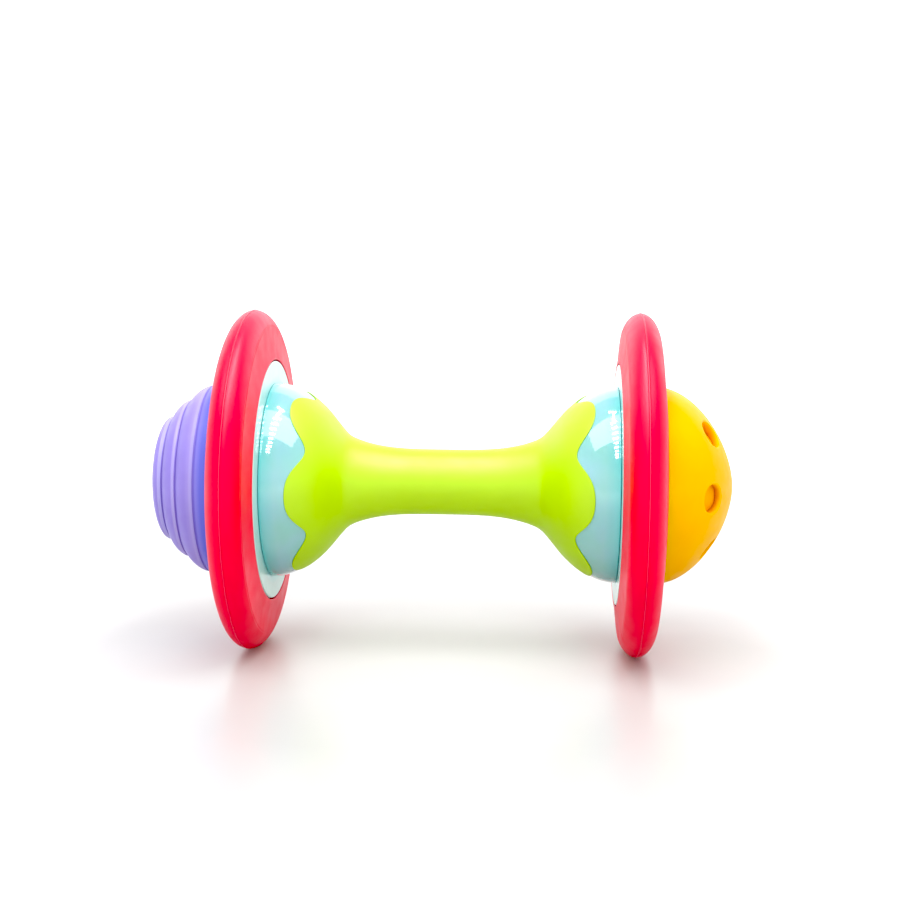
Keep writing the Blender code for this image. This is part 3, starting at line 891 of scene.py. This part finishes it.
def make_bell_material():
    """Glossy aqua with painted shade, deepening to teal towards the rim where the bell meets the hub, with a
    faint cloudiness under a clear gloss.
    """
    green_aqua = (0.23, 0.58, 0.53)
    blue_aqua = (0.25, 0.56, 0.63)
    rim_shade_teal = (0.13, 0.56, 0.56)
    rim_shade_start = BELL_RIM - 3.6 * MM
    surface = Surface("aqua_gloss")
    surface.colour(surface.clouds(9 * MM, green_aqua, blue_aqua, detail=2.0))
    # painted shade: darker teal over the last few millimetres before the rim, where the bell meets the hub
    painted_rim_shade = surface.ranged(surface.from_middle(), 0.0, 0.85, start=rim_shade_start, end=BELL_RIM)
    surface.tint(painted_rim_shade, rim_shade_teal)
    surface.roughness(3 * MM, 0.14, 0.24)
    surface.set(Specular_IOR_Level=0.25, Coat_Weight=1.0, Coat_Roughness=0.01, Coat_IOR=2.0)
    surface.bump((surface.noise(6 * MM, detail=1.0), 0.02 * MM))
    return surface.material


def make_hub_material():
    """Pale gloss disc with a painted reflection of the aqua bell, and shade beside it, in a ring just
    outside the bell's rim.
    """
    green_white = (0.48, 0.72, 0.69)
    blue_white = (0.54, 0.74, 0.76)
    bell_reflection_aqua = (0.40, 0.76, 0.76)
    reflection_start = BELL_RADIUS + 0.2 * MM
    reflection_end = BELL_RADIUS + 2.0 * MM
    surface = Surface("pale_gloss")
    surface.colour(surface.clouds(12 * MM, green_white, blue_white))
    # painted reflection and shade of the bell: an aqua tint that fades out from the bell's radius
    painted_light_mask = surface.ranged(surface.from_axis(), 1.0, 0.0, start=reflection_start, end=reflection_end)
    surface.tint(painted_light_mask, bell_reflection_aqua)
    surface.roughness(4 * MM, 0.12, 0.2)
    surface.set(Specular_IOR_Level=0.5)
    surface.bump((surface.noise(7 * MM, detail=1.0), 0.015 * MM))
    return surface.material


def make_violet_material():
    """Satin violet with painted light and shade: paler on the terraces' level bands, darker in the creases
    at their feet and beside the ring.
    """
    dark, light = (0.28, 0.22, 0.66), (0.32, 0.26, 0.72)
    painted_light_violet = (0.60, 0.58, 0.88)
    crease_shade_violet = (0.15, 0.10, 0.46)
    ring_shade_violet = (0.16, 0.17, 0.70)
    ring_shade_start, ring_shade_end = DOME_RIM + 3.5 * MM, DOME_RIM + 6.5 * MM
    surface = satin_plastic("violet_satin", dark, light, roughness=0.42, specular=0.5)
    # painted light: the level bands, which face away from the axis, are tinted paler
    along_axis = surface.maths("ABSOLUTE", surface.split(surface.direction)["X"])
    level = surface.ranged(along_axis, 0.45, 0.0, start=0.1, end=0.5)
    surface.tint(level, painted_light_violet)
    # painted shade: a dark line in the crease at the foot of each terrace
    for _, foot in TERRACE_FEET:
        off_foot = surface.off(surface.from_middle(), foot)
        crease = surface.ranged(off_foot, 0.8, 0.0, start=0.1 * MM, end=0.5 * MM)
        surface.tint(crease, crease_shade_violet)
    # painted shade: deeper, bluer violet next to the ring, which shades the dome there
    painted_ring_shade = surface.ranged(surface.from_middle(), 1.0, 0.0, start=ring_shade_start, end=ring_shade_end)
    surface.tint(painted_ring_shade, ring_shade_violet)
    return surface.material


def make_yellow_material():
    dark, light = (0.90, 0.46, 0.0), (0.93, 0.50, 0.0)
    return satin_plastic("yellow_satin", dark, light, roughness=0.45, specular=0.3).material


def make_orange_material():
    dark, light = (0.97, 0.46, 0.0), (0.99, 0.50, 0.0)
    return satin_plastic("orange_satin", dark, light, roughness=0.45, specular=0.3).material


def make_white_material():
    dark, light = (0.78, 0.78, 0.75), (0.84, 0.84, 0.82)
    return satin_plastic("natural_moulded", dark, light, roughness=0.45).material


def make_bead_material():
    dark, light = (0.84, 0.84, 0.80), (0.90, 0.90, 0.87)
    return satin_plastic("bead_moulded", dark, light, roughness=0.22, specular=0.5).material


def make_screw_material():
    dark, light = (0.50, 0.50, 0.52), (0.66, 0.66, 0.68)
    surface = Surface("zinc_plated_steel")
    surface.colour(surface.clouds(1.5 * MM, dark, light))
    surface.roughness(0.8 * MM, 0.25, 0.45)
    surface.set(Metallic=1.0)
    surface.bump((surface.noise(0.3 * MM), 0.008 * MM))
    return surface.material


def dress_inner_nodes():
    """Materials for the CAD nodes that stay shown inside the rattle."""
    looks = {
        "white_plastic": make_white_material(),
        "bead_plastic": make_bead_material(),
        "screw_steel": make_screw_material(),
    }
    for subpart in frame["record"]["subparts"]:
        look = looks.get(subpart["material_slot"])
        if look is not None:
            node = frame["nodes"][subpart["node"]]
            for index in range(len(node.data.materials)):
                node.data.materials[index] = look


# ---------------------------------------------------------------- stage, light and camera

def make_world():
    """White studio: overexposed walls near the horizon, a dimmer ceiling."""
    world = bpy.data.worlds.new("white_studio")
    world.use_nodes = True
    nodes, links = world.node_tree.nodes, world.node_tree.links
    background = nodes["Background"]
    background.inputs["Color"].default_value = (1.0, 1.0, 1.0, 1.0)
    direction = nodes.new("ShaderNodeTexCoord")
    parts = nodes.new("ShaderNodeSeparateXYZ")
    fade = nodes.new("ShaderNodeMapRange")
    fade.interpolation_type = "SMOOTHSTEP"
    fade.inputs["From Min"].default_value = math.sin(WALLS_TOP)
    fade.inputs["From Max"].default_value = math.sin(CEILING_START)
    fade.inputs["To Min"].default_value = WALLS_RADIANCE
    fade.inputs["To Max"].default_value = CEILING_RADIANCE
    links.new(direction.outputs["Generated"], parts.inputs[0])
    links.new(parts.outputs["Z"], fade.inputs["Value"])
    links.new(fade.outputs["Result"], background.inputs["Strength"])
    bpy.context.scene.world = world


def grey(level):
    return (level, level, level)


def make_floor_material():
    """Pale table with a painted shadow, greyer under the rattle, and a painted glow that grows further out.
    """
    surface = Surface("pale_table")
    # painted shadow: dark grey under the rattle, fading to a paler grey further out
    surface.colour(surface.clouds(30 * MM, grey(0.52), grey(0.54)))
    outwards = surface.ranged(surface.from_origin(), 0.0, 1.0, start=0.05, end=0.28)
    surface.tint(outwards, grey(0.72))
    surface.set(Roughness=0.3, Specular_IOR_Level=0.5, Emission_Color=(*grey(1.0), 1.0))
    # painted light: the table glows, more the further it is from the rattle
    painted_glow = surface.ranged(surface.from_origin(), 0.05, 0.7, start=0.09, end=0.45)
    surface.link(painted_glow, surface.shader.inputs["Emission Strength"])
    return surface.material


def make_floor():
    half = 6.0                       # metres, so that its edge is lost in the white
    corners = [(x, y, FLOOR_Z) for x, y in ((-half, -half), (half, -half), (half, half), (-half, half))]
    mesh = bpy.data.meshes.new("floor")
    mesh.from_pydata(corners, [], [(0, 1, 2, 3)])
    mesh.materials.append(make_floor_material())
    floor = bpy.data.objects.new("floor", mesh)
    bpy.context.scene.collection.objects.link(floor)


def add_panel(name, offset, size, radiance):
    """Rectangular soft light at an offset from the rattle's middle, which it faces."""
    middle = Vector((WAIST_X, 0.0, AXIS_Z))
    light = bpy.data.lights.new(name, "AREA")
    light.shape = "RECTANGLE"
    light.size, light.size_y = size
    light.energy = radiance * math.pi * size[0] * size[1]
    panel = bpy.data.objects.new(name, light)
    panel.location = middle + Vector(offset)
    panel.rotation_mode = "QUATERNION"
    panel.rotation_quaternion = (middle - panel.location).to_track_quat("-Z", "Y")
    panel.visible_camera = False
    bpy.context.scene.collection.objects.link(panel)


def make_lights():
    """A softbox overhead, a glow from behind, and a louvred lamp that the bells mirror as rungs."""
    add_panel("softbox", (0.0, -0.13, 0.50), size=(1.00, 0.34), radiance=2.4)
    add_panel("backlight", (0.0, 0.55, 0.33), size=(1.40, 0.45), radiance=0.9)
    for depth in spread(-0.30, 0.03, 10):
        add_panel("louvre", (0.009, depth, 0.235), size=(0.050, 0.013), radiance=17.0)


def make_camera():
    """The photograph's viewpoint, in ring radii from the middle of the waist."""
    azimuth = math.radians(3.54)
    elevation = math.radians(6.36)
    roll = math.radians(0.454)
    aim_along, aim_above = 0.0287, 0.190
    away = 8.4216
    target = Vector((WAIST_X + aim_along * RING_RADIUS, 0.0, AXIS_Z + aim_above * RING_RADIUS))
    back = Vector((
        math.sin(azimuth) * math.cos(elevation),
        -math.cos(azimuth) * math.cos(elevation),
        math.sin(elevation),
    ))
    lens = bpy.data.cameras.new("camera")
    lens.lens = 57.2
    lens.sensor_width = 36.0
    lens.clip_start = 0.01
    lens.clip_end = 50.0
    camera = bpy.data.objects.new("camera", lens)
    camera.rotation_mode = "QUATERNION"
    camera.location = target + back * away * RING_RADIUS
    camera.rotation_quaternion = (-back).to_track_quat("-Z", "Y") @ Quaternion((0.0, 0.0, 1.0), roll)
    bpy.context.scene.collection.objects.link(camera)
    bpy.context.scene.camera = camera


def set_exposure():
    """Plain sRGB with the photograph's deep blacks, which take the haze off the saturated colours."""
    view = bpy.context.scene.view_settings
    view.view_transform = "Standard"
    view.use_curve_mapping = True
    view.curve_mapping.black_level = (BLACK_LEVEL,) * 3


def build():
    make_grip(make_grip_material())
    bell_material = make_bell_material()
    hub_material = make_hub_material()
    tyre_material = make_tyre_material()
    for prefix, side in (("left", LEFT), ("right", RIGHT)):
        make_bell(prefix, side, bell_material)
        make_tyre(prefix, side, tyre_material)
        make_hub(prefix, side, -1, hub_material)
        make_hub(prefix, side, 1, hub_material)
    make_ribbed_dome(make_violet_material())
    make_perforated_dome(make_yellow_material())
    make_bead_capsule(make_orange_material())
    dress_inner_nodes()
    make_world()
    make_floor()
    make_lights()
    make_camera()
    set_exposure()


build()
